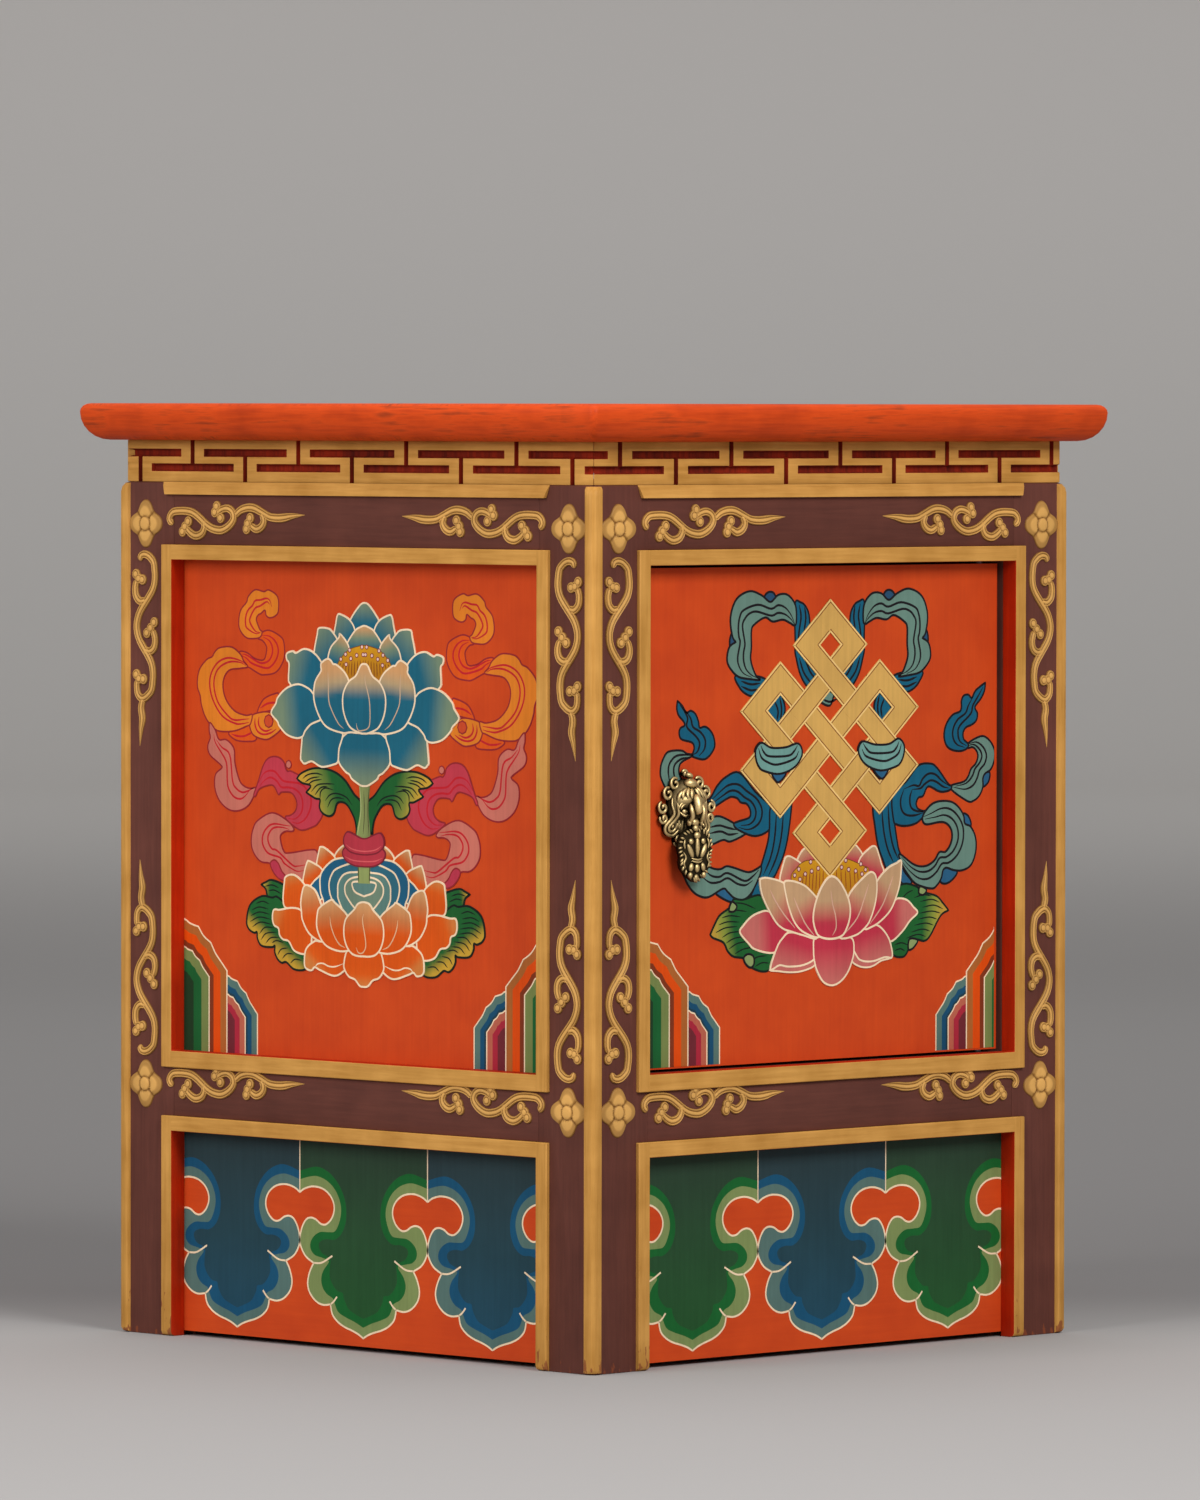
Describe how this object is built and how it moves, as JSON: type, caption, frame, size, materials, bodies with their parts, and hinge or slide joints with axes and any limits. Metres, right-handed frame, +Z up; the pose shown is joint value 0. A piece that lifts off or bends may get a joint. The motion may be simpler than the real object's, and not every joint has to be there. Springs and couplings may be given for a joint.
{
  "type": "cabinet",
  "caption": "Square painted pine cabinet on corner posts, with an overhanging top, a carved frieze, framed panels and one pivot-hung door with a drop handle.",
  "frame": {"origin": "on the floor, under the middle of the cabinet", "axes": "+Z up, -Y towards the front with the door, +X to the right as seen from the front"},
  "size_m": [0.44, 0.44, 0.56],
  "materials": {
    "maroon_paint": "matt maroon milk paint on pine",
    "gold_paint": "dull gold ochre paint on pine",
    "vermilion_paint": "orange-red paint on pine, rubbed thin",
    "bare_pine": "planed, unpainted",
    "brass": "cast, dark in its hollows, rubbed bright on its heights",
    "steel": "turned"
  },
  "bodies": {
    "carcass": {"post_front_left": "maroon_paint", "post_front_right": "maroon_paint", "post_back_right": "maroon_paint", "post_back_left": "maroon_paint", "top_rail_front": "maroon_paint", "top_rail_right": "maroon_paint", "top_rail_back": "maroon_paint", "top_rail_left": "maroon_paint", "mid_rail_front": "maroon_paint", "mid_rail_right": "maroon_paint", "mid_rail_back": "maroon_paint", "mid_rail_left": "maroon_paint", "upper_fillet_front": "gold_paint", "upper_fillet_right": "gold_paint", "upper_fillet_left": "gold_paint", "lower_fillet_front": "gold_paint", "lower_fillet_right": "gold_paint", "lower_fillet_left": "gold_paint", "side_panel_right": "vermilion_paint", "side_panel_left": "vermilion_paint", "back_panel": "vermilion_paint", "lower_panel_front": "vermilion_paint", "lower_panel_right": "vermilion_paint", "lower_panel_back": "vermilion_paint", "lower_panel_left": "vermilion_paint", "bottom_board": "bare_pine", "bottom_cleat_right": "bare_pine", "bottom_cleat_left": "bare_pine", "frieze_front": "gold_paint", "frieze_right": "gold_paint", "frieze_back": "gold_paint", "frieze_left": "gold_paint", "drip_strip_front": "gold_paint", "drip_strip_right": "gold_paint", "drip_strip_left": "gold_paint", "corner_block_front_left": "bare_pine", "corner_block_front_right": "bare_pine", "corner_block_back_right": "bare_pine", "corner_block_back_left": "bare_pine", "tabletop": "vermilion_paint", "upper_pivot_bush": "brass", "lower_pivot_bush": "brass", "door_stop_strip": "bare_pine", "catch_magnet": "steel"},
    "door": {"door_panel": "vermilion_paint", "upper_pivot_pin": "steel", "lower_pivot_pin": "steel", "strike_plate": "steel", "handle_backplate": "brass", "handle_bolt": "steel", "handle_nut": "steel", "pendant_pin": "brass"},
    "pendant": {"handle_pendant": "brass"}
  },
  "joints": [
    {"name": "door_hinge", "type": "hinge", "parent": "carcass", "child": "door", "pos_m": [0.1435, -0.1825, 0.319], "axis": [0, 0, 1], "range_deg": [0, 95]},
    {"name": "pendant_swing", "type": "hinge", "parent": "door", "child": "pendant", "pos_m": [-0.1175, -0.2005, 0.317], "axis": [-1, 0, 0], "range_deg": [0, 60]}
  ]
}
